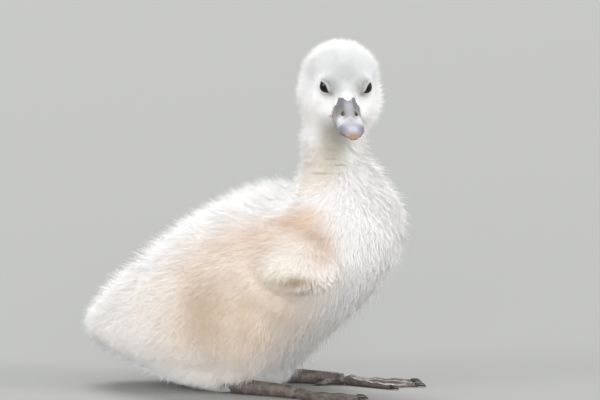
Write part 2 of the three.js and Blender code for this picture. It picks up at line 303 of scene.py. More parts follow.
def eyeballRadius(a):
    return eye["radius"] + eye["cornea"] * (1 - ramp(math.degrees(a), *eye["corneaEdge"]))


def openingCurve():
    spots = []
    for i, direction in enumerate(eye["opening"]):
        spots += [direction] * (2 if i in eye["corners"] else 1)
    spots = unit(np.array(spots, float))
    count = len(spots)
    curve = []
    for i in range(count):
        near = [spots[(i + k) % count] for k in (-1, 0, 1, 2)]
        if not np.allclose(near[1], near[2]):
            curve += [between(*near, f) for f in np.arange(eye["perSpan"]) / eye["perSpan"]]
    curve = unit(np.array(curve))
    middle = unit(curve.mean(0))
    return unit(middle + (curve - middle) * eye["openness"])


openEye = openingCurve()
eyeMiddle = unit(openEye.mean(0))
eyeAcross = unit(np.cross(eyeMiddle, [0, 0, 1]))
eyeUp = np.cross(eyeAcross, eyeMiddle)


def roundEye(ways):  # the turn of each direction round the opening's middle, and its degrees away from it
    away = np.degrees(np.arccos(np.clip(ways @ eyeMiddle, -1, 1)))
    return np.arctan2(ways @ eyeUp, ways @ eyeAcross), away


def eyeDistance(local):  # degrees that points lie outside the eye's opening, seen from the eye's centre
    spots = leftSide(local) - eye["centre"]
    edgeTurn, edgeLean = roundEye(openEye)
    order = np.argsort(edgeTurn)
    turn, lean = roundEye(unit(spots))
    edge = np.interp(turn, edgeTurn[order], edgeLean[order], period=2 * np.pi)
    return np.where(np.linalg.norm(spots, axis=1) < eye["reach"], lean - edge, 99)


# ---- skin: one closed form inside the flesh nodes
skin = {
    "voxel": 1.1 * mm, "swell": 0.45 * mm, "smoothing": 34, "insetSteps": 4, "offFloor": 0.4,
    "underBill": 0.7, "overBill": 0.5,  # mm
    # how deep in the coat it lies, mm
    "depth": {"head": 1.7, "face": 0.9, "neck": 3.6, "body": 5.4, "tail": 4.6, "wing": 2.6, "floor": 1.2},
    # hollows of the head, in its own frame: centre, half size, depth in mm
    "hollows": [
        ((4, -23, 9), (12, 9, 8), 2.6), ((4, 23, 5.5), (12, 9, 6), 2.0), ((3, 23, 15), (14, 9, 5), -1.0),
        ((2, -21, -16), (12, 10, 9), 2.0),
    ],
}
fleshNodes = ["head", "neck", "trunk", "tail", "wing_left", "wing_right", "thigh_left", "thigh_right"]
fillNodes = ["eye_left", "eye_right", "bill_upper", "bill_lower"]  # fill their own holes


def fetch(items, attribute, size, kind=float):  # an attribute of all the items, a row each
    values = np.empty(len(items) * size, kind)
    items.foreach_get(attribute, values)
    return values.reshape(-1, size)


def numbersOf(mesh):
    return fetch(mesh.vertices, "co", 3)


def normalsOf(mesh):
    return fetch(mesh.vertex_normals, "vector", 3)


def edgesOf(mesh):
    return fetch(mesh.edges, "vertices", 2, np.int64)


def raisedBy(mesh, height):  # its points moved out by so many mm
    return numbersOf(mesh) + normalsOf(mesh) * (height * mm)[:, None]


def place(mesh, points):
    mesh.vertices.foreach_set("co", points.ravel())
    mesh.update()


def swollen(names, by):
    whole = bmesh.new()
    for name in names:
        one = bmesh.new()
        one.from_mesh(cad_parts[name].data)
        bmesh.ops.remove_doubles(one, verts=one.verts, dist=1e-6)
        one.normal_update()
        for v in one.verts:
            v.co += v.normal * by
        part = bpy.data.meshes.new("part")
        one.to_mesh(part)
        whole.from_mesh(part)
        bpy.data.meshes.remove(part)
        one.free()
    mesh = bpy.data.meshes.new("swollen")
    whole.to_mesh(mesh)
    whole.free()
    return mesh


def evaluated(obj):  # a new mesh with the modifiers applied
    return bpy.data.meshes.new_from_object(obj.evaluated_get(bpy.context.evaluated_depsgraph_get()))


def voxelled(mesh, size):
    obj = link(bpy.data.objects.new("voxelled", mesh))
    remesh = obj.modifiers.new("remesh", "REMESH")
    remesh.mode, remesh.voxel_size, remesh.use_smooth_shade = "VOXEL", size, True
    done = evaluated(obj)
    bpy.data.objects.remove(obj)
    bpy.data.meshes.remove(mesh)
    return done


def relaxed(points, edges, rounds, strength=0.5, back=0.0):
    # Each round draws a point towards its neighbours; back then pushes out again, to keep the volume.
    count = np.bincount(edges.ravel(), minlength=len(points))[:, None]
    for _ in range(rounds):
        for pull in (strength, -back):
            if pull == 0:
                continue
            total = np.zeros_like(points)
            for a, b in ((0, 1), (1, 0)):
                for axis in range(3):
                    total[:, axis] += np.bincount(edges[:, a], points[edges[:, b], axis], len(points))
            points = points + pull * (total / np.maximum(count, 1) - points)
    return points


def boxWeight(name, points, grow, soft):  # 1 well inside an ellipsoid in the node's box, 0 outside
    low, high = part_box(name)
    centre, half = np.array((low + high) / 2), np.array((high - low) / 2) + grow
    return 1 - ramp(np.linalg.norm((points - centre) / half, axis=1), 1 - soft, 1 + soft)


zone = {  # mm; each pair is where a part of the bird begins and where it is whole, or the other way round
    "head": ((24, 23, 25), (0.88, 1.36)),  # half size of an ellipsoid in the head's frame, and its edge
    "neck": (100, 122), "neckSlope": (0.35, 33),  # height, how much that rises per mm of x, and from which x
    "tail": (-84, -60),
    "back": (68, 88), "backSlope": 0.62, "backHalf": (10, 32),
    "wing": (1.5 * mm, 0.15), "thigh": (2 * mm, 0.2),  # how far past the node's box, and softness
    "beak": ((22, 0, -4), (13, 12, 11)), "eye": ((16.6, 11.4, 4.8), 8),  # in the head's frame: centre, reach
    "face": (0.7, 1.5),
    "floor": (1, 14),
}


def regionsOf(points):
    # How far each point belongs to the head, neck, tail, wings and thighs; the trunk is what is left.
    local = toHead(points)
    x, y, z = fromMiddle(points)
    half, edge = zone["head"]
    region = {"head": 1 - ramp(np.linalg.norm(local / np.array(half), axis=1), *edge)}
    slope, start = zone["neckSlope"]
    region["neck"] = ramp(z - slope * (x - start), *zone["neck"]) * (1 - region["head"])
    region["tail"] = 1 - ramp(x, *zone["tail"])
    ridge = ramp(z - zone["backSlope"] * x, *zone["back"])
    region["back"] = ridge * (1 - ramp(np.abs(y), *zone["backHalf"])) * (1 - region["head"])
    for part in ("wing", "thigh"):
        region[part] = np.maximum(*[boxWeight(f"{part}_{side}", points, *zone[part]) for side in sides])
    region["thigh"] *= 1 - region["wing"]
    centre, half = zone["beak"]
    nearest = np.linalg.norm((local - np.array(centre)) / np.array(half), axis=1)
    centre, reach = zone["eye"]
    nearest = np.minimum(nearest, np.linalg.norm(leftSide(local) - np.array(centre), axis=1) / reach)
    region["face"] = region["head"] * (1 - ramp(nearest, *zone["face"]))
    region["floor"] = 1 - ramp(z, *zone["floor"])
    return region


def coatDepth(points):
    r, d = regionsOf(points), skin["depth"]
    depth = np.full(len(points), d["body"], float)
    for name in ("tail", "wing", "neck", "head", "face", "floor"):
        depth += (d[name] - depth) * r[name]
    local = toHead(points)
    for centre, half, deep in skin["hollows"]:
        depth += deep * np.exp(-np.sum(((local - centre) / half) ** 2, axis=1) * 1.5)
    return depth * mm


def makeSkin():
    mesh = voxelled(swollen(fleshNodes + fillNodes, skin["swell"]), skin["voxel"])
    mesh.name = "skin"
    edges = edgesOf(mesh)
    points = relaxed(numbersOf(mesh), edges, skin["smoothing"])
    outer = points.copy()
    depth = coatDepth(outer)
    for _ in range(skin["insetSteps"]):
        place(mesh, points)
        normals = unit(relaxed(normalsOf(mesh), edges, 6))
        points = relaxed(points - normals * (depth / skin["insetSteps"])[:, None], edges, 2)
    points[:, 2] = np.maximum(points[:, 2], skin["offFloor"] * mm)
    points = eyeBeds(points)
    local = toHead(points)
    degrees, reach, rounds = eye["ease"]
    fromEye = np.linalg.norm(leftSide(local) - eye["centre"], axis=1)
    near = ramp(eyeDistance(local), *degrees) * (1 - ramp(fromEye, *reach))
    points += (relaxed(points, edges, rounds) - points) * near[:, None]
    place(mesh, uncovered(points))
    smoothed(mesh)
    return link(bpy.data.objects.new("skin", mesh))


def eyeBeds(points):  # the skin swells round each eye to meet its lid, and sinks under the opening
    local = toHead(points)
    away = leftSide(local) - eye["centre"]
    radius, outside = np.linalg.norm(away, axis=1), eyeDistance(local)
    under, beside, growth, edge = eye["bed"]
    inside = outside < edge
    wanted = np.where(inside, np.minimum(radius, under), np.maximum(radius, beside + growth * outside))
    near = (radius < eye["reach"]) & (radius > 1) & (away @ eyeMiddle > 0.35 * radius)  # its outer side
    share = np.where(near, wanted / np.maximum(radius, 1), 1)
    share = 1 + (share - 1) * np.where(inside, 1, 1 - ramp(radius, *eye["bedEnd"]))
    shifted = away * share[:, None] + eye["centre"]
    shifted[:, 1] *= np.where(local[:, 1] < 0, -1, 1)
    return fromHead(shifted)


def uncovered(points):  # the skin sinks under the bare part of the bill, and lies over its downy root
    beak = toBill(points)
    x, y, z = beak.T
    near = (np.abs(y) < billAt("half", x) + 0.3) & (z > 1.2) & (z < 16) & (x < 30)
    past = x - downEdgeAt(beak)
    sunk, raised = near & (past > -0.2), near & (past <= -0.2) & (x > 6) & (z > 6)
    top = billTopAt(beak)
    beak[sunk, 2] = np.minimum(beak[sunk, 2], top[sunk] - skin["underBill"])
    beak[raised, 2] = np.maximum(beak[raised, 2], (top + skin["overBill"] * ramp(-past, 0, 1.5))[raised])
    return np.where((sunk | raised)[:, None], inFrame(billMatrix, beak * mm), points)


skinPiece = makeSkin()
print("skin:", len(skinPiece.data.vertices), "points")

# ---- paints
def linear(screen):  # a screen colour of 0 to 255 as Blender's own
    return (*((c / 255 / 12.92) if c < 10.3 else ((c / 255 + 0.055) / 1.055) ** 2.4 for c in screen), 1)


class Wire:
    # A socket of a paint. Reckoning with it adds Math nodes.
    def __init__(self, paint, node, socket):
        self.paint, self.node, self.socket = paint, node, socket

    def maths(self, operation, first, second):
        return self.paint.add("ShaderNodeMath", {"operation": operation}, {0: first, 1: second})

    def __add__(self, other):
        return self.maths("ADD", self, other)

    def __sub__(self, other):
        return self.maths("SUBTRACT", self, other)

    def __rsub__(self, other):
        return self.maths("SUBTRACT", other, self)

    def __mul__(self, other):
        return self.maths("MULTIPLY", self, other)

    def __abs__(self):
        return self.maths("ABSOLUTE", self, 0)

    def at(self, name):  # another output of the same node
        return Wire(self.paint, self.node, self.node.outputs[name])

    __radd__, __rmul__ = __add__, __mul__


class Paint:
    def __init__(self, name, finish):
        self.material = bpy.data.materials.new(name)
        self.material.use_nodes = True
        self.tree = self.material.node_tree
        self.shader = self.tree.nodes["Principled BSDF"]
        for socket, value in finish.items():
            self.shader.inputs[socket].default_value = value
        self.place = self.scaled(self.add("ShaderNodeTexCoord", {}, {}, "Object"), 1 / mm)

    def add(self, kind, settings, sockets, output=0):
        node = self.tree.nodes.new(kind)
        for key, value in settings.items():
            setattr(node, key, value)
        for key, value in sockets.items():
            if isinstance(value, Wire):
                self.tree.links.new(value.socket, node.inputs[key])
            else:
                node.inputs[key].default_value = value
        return Wire(self, node, node.outputs[output])

    def vector(self, operation, *inputs, output=0):
        return self.add("ShaderNodeVectorMath", {"operation": operation}, dict(enumerate(inputs)), output)

    def scaled(self, vector, by):
        return self.add("ShaderNodeVectorMath", {"operation": "SCALE"}, {0: vector, "Scale": by})

    def axes(self, place):
        xyz = self.add("ShaderNodeSeparateXYZ", {}, {0: place})
        return [xyz.at(axis) for axis in "XYZ"]

    def mirrored(self, place):  # the same on both sides
        x, y, z = self.axes(place)
        return self.add("ShaderNodeCombineXYZ", {}, {0: x, 1: abs(y), 2: z})

    def within(self, matrix):  # the place in a frame of the bird, in mm, the same on both sides
        toLocal = matrix.inverted()
        sockets = {"Location": toLocal.to_translation() / mm, "Rotation": toLocal.to_euler()}
        sockets["Vector"] = self.place
        return self.mirrored(self.add("ShaderNodeMapping", {"vector_type": "POINT"}, sockets))

    def ramp(self, value, low, high):
        settings = {"interpolation_type": "SMOOTHSTEP"}
        return self.add("ShaderNodeMapRange", settings, {0: value, 1: low, 2: high})

    def noise(self, size, detail=2, place=None, stretch=(1, 1, 1)):  # size in mm; 0.5 is its middle
        spread = self.vector("MULTIPLY", place or self.place, tuple(1 / (size * s) for s in stretch))
        return self.add("ShaderNodeTexNoise", {}, {"Vector": spread, "Scale": 1, "Detail": detail})

    def mix(self, amount, under, over):  # colours are paint already, or screen colours
        under, over = (c if isinstance(c, Wire) else linear(c) for c in (under, over))
        return self.add("ShaderNodeMix", {"data_type": "RGBA"}, {0: amount, 6: under, 7: over}, 2)

    def blob(self, place, centre, half, edge):  # 1 inside an ellipsoid of mm, 0 outside
        away = self.vector("DIVIDE", self.vector("SUBTRACT", place, centre), half)
        return 1 - self.ramp(self.vector("LENGTH", away, output="Value"), 1 - edge, 1 + edge)

    def marked(self, colour, place, marks, drift=1):
        for centre, half, tone, amount, edge in marks:
            colour = self.mix(self.blob(place, centre, half, edge) * drift * amount, colour, tone)
        return colour

    def wear(self, colour, roughness=None, height=None, relief=0):  # relief in mm
        self.tree.links.new(colour.socket, self.shader.inputs["Base Color"])
        if roughness is not None:
            self.tree.links.new(roughness.socket, self.shader.inputs["Roughness"])
        if height is not None:
            bump = self.add("ShaderNodeBump", {}, {"Height": height, "Strength": 1, "Distance": relief * mm})
            self.tree.links.new(bump.socket, self.shader.inputs["Normal"])
        return self.material


# ---- the bill's meshes
def ringsMesh(name, rings):
    # Closed skin over rings of points, with a point at the middle of each end.
    rings = np.asarray(rings)
    count, around = rings.shape[:2]
    points = [*rings.reshape(-1, 3), rings[0].mean(0), rings[-1].mean(0)]
    start, end = count * around, count * around + 1
    faces = []
    for j in range(around):
        k = (j + 1) % around
        faces.append((start, k, j))
        faces.append((end, (count - 1) * around + j, (count - 1) * around + k))
        for i in range(count - 1):
            a = i * around
            faces.append((a + j, a + k, a + around + k, a + around + j))
    return outwards(pieceFrom(name, points, faces))


def outwards(obj):
    work = bmesh.new()
    work.from_mesh(obj.data)
    bmesh.ops.recalc_face_normals(work, faces=work.faces)
    work.to_mesh(obj.data)
    work.free()
    return obj


def billRings(upper):
    b = bill
    angle = circle(b["around"])
    end = 1 if upper else b["lowerEnd"]
    rings = []
    closing = np.linspace(0, np.pi / 2, 10)[1:]
    stations = [(t, 0, 1) for t in np.linspace(b["start"], end, b["stations"])]
    stations += [(end, math.sin(a), max(math.cos(a), 0.02)) for a in closing]  # rounds off the tip
    for t, out, shrink in stations:
        power = billSquareness(t) if upper else b["lowerSquareness"]
        wide, tall = (np.sign(v) * np.abs(v) ** power for v in (np.cos(angle), np.sin(angle)))
        half, mouth = along(b["half"], t), along(b["mouth"], t)
        if upper:
            waist, top, low = mouth + b["lip"], along(b["top"], t), mouth
        else:
            half, mouth = half * b["lowerShare"], mouth - b["mouthGap"]
            deep, shallow = b["lowerDepth"]
            depth = deep + (shallow - deep) * t
            waist, top, low = mouth - b["lip"] / 2, mouth, mouth - depth
        z = waist + np.where(tall > 0, top - waist, waist - low) * tall
        middle = (top + low) / 2
        x = np.full(b["around"], t * b["reach"] + out * b["tipRound"][0 if upper else 1])
        rings.append(np.stack([x, half * wide * shrink, middle + (z - middle) * shrink], 1))
    return np.array(rings)


def bell(x, half):  # 1 at 0, fading over half to either side
    return np.exp(-((x / half) ** 2))


def nailPlate(x, y):  # below 1 inside the nail's outline
    mid, longHalf, wideHalf = bill["nail"]
    power = bill["nailCorner"]
    return (np.abs((x - mid) / longHalf) ** power + np.abs(y / wideHalf) ** power) ** (1 / power)


def billRelief(points):  # how far the upper bill's surface stands out, in mm
    x, y, z = points[:, 0], np.abs(points[:, 1]), points[:, 2]
    upper = ramp(z - billAt("mouth", x), 1, 2.2)
    ahead, aside = x - bill["nostril"][0], y - bill["nostril"][1]
    cos, sin = math.cos(math.radians(bill["nostrilTurn"])), math.sin(math.radians(bill["nostrilTurn"]))
    longHalf, wideHalf = bill["nostrilHalf"]
    hole = np.hypot((ahead * cos + aside * sin) / longHalf, (aside * cos - ahead * sin) / wideHalf)
    lip, lipHalf, lipHeight = bill["nostrilLip"]
    relief = -bill["nostrilDepth"] * (1 - ramp(hole, 0.6, 1.1)) + lipHeight * bell(hole - lip, lipHalf)
    middle, half, deep = bill["groove"]
    groove = np.hypot((x - middle[0]) / half[0], (y - middle[1]) / half[1])
    relief += -deep * (1 - ramp(groove, 0.2, 1.15))
    half, height, fade = bill["keel"]
    relief += height * bell(y, half) * (1 - ramp(x, *fade))
    start, slope, half, height = bill["ridge"]
    low, high, plate = bill["ridgeFront"]
    behind, gutterHalf, gutter = bill["ridgeBack"]
    fork = x - start - slope * y
    relief += (
        height * bell(fork, half) + plate * ramp(fork, low, high) - gutter * bell(fork + behind, gutterHalf)
    )
    seam, half = bill["nailSeam"]
    relief += -0.07 * bell(nailPlate(x, y) - seam, half)
    relief += bill["pebble"] * np.sin(2.3 * x + 1.7 * y) * np.sin(1.9 * y - 0.8 * x + z)
    return relief * upper


def makeBill():
    rings = [billRings(upper) for upper in (True, False)]
    names = ("bill_upper_horn", "bill_lower_horn")
    upper, lower = (ringsMesh(name, inFrame(billMatrix, ring * mm)) for name, ring in zip(names, rings))
    local = np.vstack([rings[0].reshape(-1, 3), rings[0][0].mean(0), rings[0][-1].mean(0)])
    place(upper.data, raisedBy(upper.data, billRelief(local)))
    return upper, lower, makeNail(upper, local)


def makeNail(upper, local):
    # A thin horn shield over the tip, cut from the bill's own surface and given a wall.
    plate = nailPlate(local[:, 0], local[:, 1])
    low = billAt("mouth", local[:, 0])
    inside = (plate < 1) & (local[:, 2] > low + 0.5) & (local[:, 0] > bill["nail"][0] - bill["nail"][1])
    edgeLift, middleLift = bill["nailLift"]
    lift = edgeLift + middleLift * (1 - ramp(plate, 0.55, 1))
    raised = raisedBy(upper.data, lift)
    faces = [tuple(p.vertices) for p in upper.data.polygons if all(inside[i] for i in p.vertices)]
    used = sorted({i for f in faces for i in f})
    renumber = {old: new for new, old in enumerate(used)}
    nail = pieceFrom("bill_nail_horn", raised[used], [tuple(renumber[i] for i in f) for f in faces])
    wall = nail.modifiers.new("wall", "SOLIDIFY")
    wall.thickness, wall.offset = bill["nailWall"] * mm, -1
    return plain(nail)


def plain(obj):  # its modifiers applied
    mesh = evaluated(obj)
    mesh.name = obj.name
    obj.modifiers.clear()
    old, obj.data = obj.data, mesh
    bpy.data.meshes.remove(old)
    return obj


upperBill, lowerBill, nail = makeBill()
print("bill:", sum(len(o.data.polygons) for o in (upperBill, lowerBill, nail)), "faces")

# ---- the eyes' meshes
def handed(points, sign):  # a left-side form of the head's frame, placed for either side
    return fromHead(np.asarray(points) * (1, sign, 1))


def loopsMesh(name, loops):  # a closed band over loops that follow each other round its section
    loops = np.asarray(loops)
    count, around = loops.shape[:2]
    faces = []
    for i in range(count):
        a, b = i * around, (i + 1) % count * around
        faces += [(a + j, a + (j + 1) % around, b + (j + 1) % around, b + j) for j in range(around)]
    return outwards(pieceFrom(name, loops.reshape(-1, 3), faces))


def makeEyes():
    balls, rims, lids = [], [], []
    centre = np.array(eye["centre"])
    lean = np.sum(openEye * eyeMiddle, 1)[:, None]
    outward = unit(openEye * lean - eyeMiddle)  # away from the opening, along the ball
    outward = unit(across(outward, openEye))
    for name, sign in sides.items():
        rings = sphereGrid(eye["axis"], eyeballRadius, eye["rings"], eye["around"])
        balls.append(ringsMesh("eyeball_" + name, handed([centre + ring for ring in rings], sign)))
        for part, made in (("rim", rims), ("lid", lids)):
            loops = []
            for degrees, radius in eye[part]:
                a = math.radians(degrees)
                loops.append(centre + (openEye * math.cos(a) + outward * math.sin(a)) * radius)
            made.append(loopsMesh(f"eye{part}_{name}", handed(loops, sign)))
    return balls, rims, lids


eyeballs, eyeRims, eyelids = makeEyes()
print("eyes and lids made")

# ---- legs: the bare shanks, webs and toes with their scales, and the claws
leg = {
    "at": (44, 31), "turn": 9,  # mm and degrees; the toe joint, where X runs along the middle toe
    "voxel": 0.46 * mm, "swell": 0.18 * mm, "smoothing": 9, "offFloor": 0.02,
    "toes": {"inner": (-27, 30.3), "middle": (0, 37), "outer": (25, 34.4)},  # spread in degrees, length in mm
    "scuteStep": 1.5, "shankStep": 2, "scuteDepth": 0.2,  # the rows of plates along toes and shank
    "grain": 1.05, "grainDepth": 0.13,  # the round scales between them
    # sections of a claw: x, z, half width, half height
    "claw": ((0, 1.35, 1.1, 1.25), (2.2, 1.45, 0.9, 1.05), (4, 1.1, 0.55, 0.75), (5, 0.6, 0.2, 0.28)),
    "hindClaw": ((0, 1.2, 0.9, 1), (2.3, 0.85, 0.5, 0.62), (3.5, 0.5, 0.2, 0.26)),
    "clawStations": 18, "clawAround": 20, "clawKeel": 0.12, "clawRoot": 0.7,
    "hindAt": (-7.5, -3.9), "hindTurn": -142, "hindReach": 6.55,
}


def legFrame(sign):
    x, y = leg["at"]
    return moved(x + shift, sign * y, 0) @ turned(sign * leg["turn"])


def cellSeam(points, size):
    # 1 on the seams between round grains of a size, 0 inside a grain.
    cell = np.floor(points / size).astype(np.int64)
    nearest = np.full((2, len(points)), 9.0)
    for offset in np.ndindex(3, 3, 3):
        c = cell + np.array(offset) - 1
        mixed = (c * np.array([73856093, 19349663, 83492791])).sum(1)
        jitter = np.stack([((mixed * k) >> 7) % 1000 / 1000 for k in (1103515245, 12345677, 214013)], 1)
        away = np.linalg.norm(points / size - (c + 0.5 + 0.7 * (jitter - 0.5)), axis=1)
        nearest = np.sort(np.vstack([nearest, away]), axis=0)[:2]
    return 1 - ramp(nearest[1] - nearest[0], 0.02, 0.28)


def rowPhase(reach, step):  # 0 in the middle of a plate of the row, 1 on its seams
    return np.abs((reach / step) % 1 - 0.5) * 2


def scaleSeams(points, normals, sign):
    # Across the toes and the shank's front the seams run in rows; elsewhere they are grains.
    local = inFrame(legFrame(sign).inverted(), points) / mm
    local[:, 1] *= sign
    x, y, z = local.T
    top = ramp(normals[:, 2], 0.05, 0.45)
    rows, near = np.zeros(len(x)), np.zeros(len(x))
    for spread, _ in leg["toes"].values():
        a = math.radians(spread)
        reach, aside = x * math.cos(a) + y * math.sin(a), np.abs(y * math.cos(a) - x * math.sin(a))
        toe = (1 - ramp(aside, 1.3, 2.3)) * ramp(reach, -1, 2) * ramp(z, 1.5, 2.2) * top
        phase = rowPhase(reach + 0.2 * aside * aside, leg["scuteStep"])
        rows, near = np.maximum(rows, ramp(phase, 0.66, 1) * toe), np.maximum(near, toe)
    shank = (1 - ramp(x, -5, -2)) * (1 - ramp(np.abs(y), 1.9, 3)) * ramp(z, 3.5, 5)
    phase = rowPhase(x + 0.15 * y * y, leg["shankStep"])
    rows, near = np.maximum(rows, ramp(phase, 0.7, 1) * shank), np.maximum(near, shank)
    return rows, cellSeam(points / mm, leg["grain"]) * (1 - near)


def makeLegs():
    legs, claws = [], []
    for name, sign in sides.items():
        parts = [f"{part}_{name}" for part in ("shank", "foot", "hind_toe")]
        mesh = voxelled(swollen(parts, leg["swell"]), leg["voxel"])
        mesh.name = "leg_skin_" + name
        points = relaxed(numbersOf(mesh), edgesOf(mesh), leg["smoothing"])
        place(mesh, points)
        normals = normalsOf(mesh)
        rows, grain = scaleSeams(points, normals, sign)
        points = points - normals * ((rows * leg["scuteDepth"] + grain * leg["grainDepth"]) * mm)[:, None]
        points[:, 2] = np.maximum(points[:, 2], leg["offFloor"] * mm)
        place(mesh, points)
        smoothed(mesh)
        legs.append(link(bpy.data.objects.new("leg_skin_" + name, mesh)))
        for toe, (spread, length) in leg["toes"].items():
            spot = legFrame(sign) @ turned(sign * spread)
            claws.append(makeClaw(f"claw_horn_{name}_{toe}", leg["claw"], length, spot))
        x, y = leg["hindAt"]
        spot = legFrame(sign) @ moved(x, sign * y, 0) @ turned(sign * leg["hindTurn"])
        claws.append(makeClaw(f"claw_horn_{name}_hind", leg["hindClaw"], leg["hindReach"], spot))
    return legs, claws


def makeClaw(name, profile, start, spot):
    stations = np.linspace(0, 1, leg["clawStations"])
    x, z, wide, tall = (along([row[k] for row in profile], stations) for k in range(4))
    close = np.array([0.75, 0.3])  # rounds off the point
    x, z = np.append(x, x[-1] + 0.1 * np.array([1, 1.8])), np.append(z, [z[-1], z[-1]])
    wide, tall = np.append(wide, wide[-1] * close), np.append(tall, tall[-1] * close)
    x[0] -= leg["clawRoot"]  # the root sits in the toe
    around = leg["clawAround"]
    angle = circle(around)
    keel = 1 + leg["clawKeel"] * np.maximum(np.sin(angle), 0)  # a ridge along the top
    rings = np.array([
        np.stack([np.full(around, start + a), w * np.cos(angle), c + h * np.sin(angle) * keel], 1)
        for a, c, w, h in zip(x, z, wide, tall)
    ])
    rings[:, :, 2] = np.maximum(rings[:, :, 2], leg["offFloor"])
    return ringsMesh(name, inFrame(spot, rings * mm))


legSkins, claws = makeLegs()
print("legs:", [len(o.data.polygons) for o in legSkins], "faces,", len(claws), "claws")

# ---- unwrap of the skin, which the coat's spindles take their own patches from
def unwrap(obj):
    obj.data.uv_layers.new(name="OFBake")
    bpy.ops.object.select_all(action="DESELECT")
    obj.select_set(True)
    bpy.context.view_layer.objects.active = obj
    bpy.ops.object.mode_set(mode="EDIT")
    bpy.ops.mesh.select_all(action="SELECT")
    bpy.ops.uv.smart_project(angle_limit=math.radians(66), island_margin=0.004)
    bpy.ops.object.mode_set(mode="OBJECT")


unwrap(skinPiece)
print("skin unwrapped")

# ---- finishes
down = {
    "white": (251, 250, 249), "finish": {"Roughness": 0.9, "Sheen Weight": 0.3, "Sheen Roughness": 0.6},
    # marks on the body, the same on both sides: centre, half size (mm), colour, amount, softness of the edge
    "marks": [
        ((6, 42, 52), (56, 34, 42), (242, 226, 211), 0.95, 0.45),  # flank, shoulder and haunch
        ((-62, 24, 44), (38, 30, 26), (255, 249, 243), 0.9, 0.7),  # rump, paler: partly its own colour, partly painted light
        ((20, 44, 88), (44, 16, 14), (234, 210, 191), 0.7, 0.6),  # mantle
        ((60, 39, 77), (8, 10, 11), (206, 174, 146), 0.5, 0.8),  # painted shade in the groove in front of the wing, on this line and the next three
        ((43, 38, 90), (9, 12, 3), (204, 174, 146), 0.6, 0.8),
        ((54, 40, 84), (7, 12, 3), (204, 172, 146), 0.5, 0.8),
        ((62, 38, 76), (4.5, 12, 6), (204, 174, 148), 0.45, 0.8),
        ((49, 38, 93), (11, 12, 6), (230, 198, 172), 0.6, 0.8),  # shoulder
        ((-3, 46, 46), (10, 14, 16), (204, 178, 152), 0.55, 0.9),  # painted shade in the hollow behind the haunch
        ((18, 48, 40), (27, 14, 20), (214, 193, 164), 0.55, 0.8),  # haunch
        ((47.5, 46, 61.5), (11, 9, 3), (158, 128, 94), 0.85, 0.8),  # painted shadow under the wing
        ((49, 46, 74), (14, 12, 9), (248, 240, 230), 0.7, 0.7),  # wing
        ((38, 50, 67), (11, 9, 9), (248, 242, 230), 0.75, 0.5),
        ((50, 24, 117), (11, 10, 17), (236, 222, 206), 0.75, 0.8),  # side of the neck
        ((60, 17, 126), (7.5, 10, 14), (196, 191, 172), 0.55, 0.8),  # painted shade on the throat under the bill and head, on this line and the next
        ((58.5, 17, 133), (8, 10, 8.5), (156, 154, 136), 0.72, 0.8),
    ],
    # painted shade in short creases on the throat where the neck turns: centre and half width, mm
    "creases": [((60, 17, 126.5), 4.5), ((58.5, 20, 122), 3.5), ((62, 17, 119), 4), ((55, 24, 115), 5)],
    "creaseDepth": 5, "creaseHalf": 0.5, "creaseShadeColour": (150, 144, 132), "creaseShadeAmount": 0.4,
    # the back's ridge is paler, partly its own pale down and partly painted light from behind: height less
    # slope times x, where it ends at the sides and before the neck
    "paleLitRidge": {"rise": (62, 84), "slope": 0.62, "side": (20, 44), "front": (30, 46), "amount": 0.85},
    # marks on the head, in its own frame
    "headMarks": [
        ((9, 0, 15), (22, 26, 17), (228, 229, 230), 0.9, 0.6),  # crown: painted shade that tones down the brightly lit crown
        ((18, 0, 6), (9, 12.5, 11.5), (192, 193, 194), 0.8, 0.7),  # painted shade on the brow and between the eyes
        ((18, 10, 5.8), (3.8, 4.4, 5.6), (146, 147, 146), 0.8, 0.7),  # painted shade on the lids
        ((20, 5.5, 4), (4, 3.2, 4.4), (164, 166, 162), 0.5, 0.8),  # painted shade in front of the eye
        ((18.6, 8.4, 1.5), (2.4, 1.7, 0.9), (112, 108, 98), 0.65, 0.9),  # dark line from the eye's corner
        ((23, 0, -0.3), (4, 3.4, 3.2), (244, 244, 243), 0.8, 0.8),  # the white wedge over the bill
    ],
    "mottle": 0.09,
}


def makeDown():
    paint = Paint("down", down["finish"])
    blur, fine = paint.noise(9, stretch=(1.4, 1, 1)), paint.noise(1.6)
    at = paint.mirrored(paint.place)
    colour = paint.marked(down["white"], at, down["marks"], 0.65 + 0.7 * blur)
    # painted shade in the throat's creases
    for centre, half in down["creases"]:
        creaseShade = paint.blob(at, centre, (half, down["creaseDepth"], down["creaseHalf"]), 0.7)
        colour = paint.mix(creaseShade * down["creaseShadeAmount"] * 2 * fine, colour, down["creaseShadeColour"])
    # the back's ridge made whiter: partly its own colour, partly painted light
    paleLitRidge = down["paleLitRidge"]
    x, y, z = paint.axes(at)
    ridge = paint.ramp(z - paleLitRidge["slope"] * x, *paleLitRidge["rise"])
    ridge *= 1 - paint.ramp(y, *paleLitRidge["side"])
    ridge *= 1 - paint.ramp(x, *paleLitRidge["front"])
    colour = paint.mix(ridge * paleLitRidge["amount"], colour, down["white"])
    colour = paint.marked(colour, paint.within(headMatrix), down["headMarks"])  # over the pale, partly painted-lit ridge
    return paint.wear(paint.scaled(colour, 1 - down["mottle"] * (fine + blur - 1)))


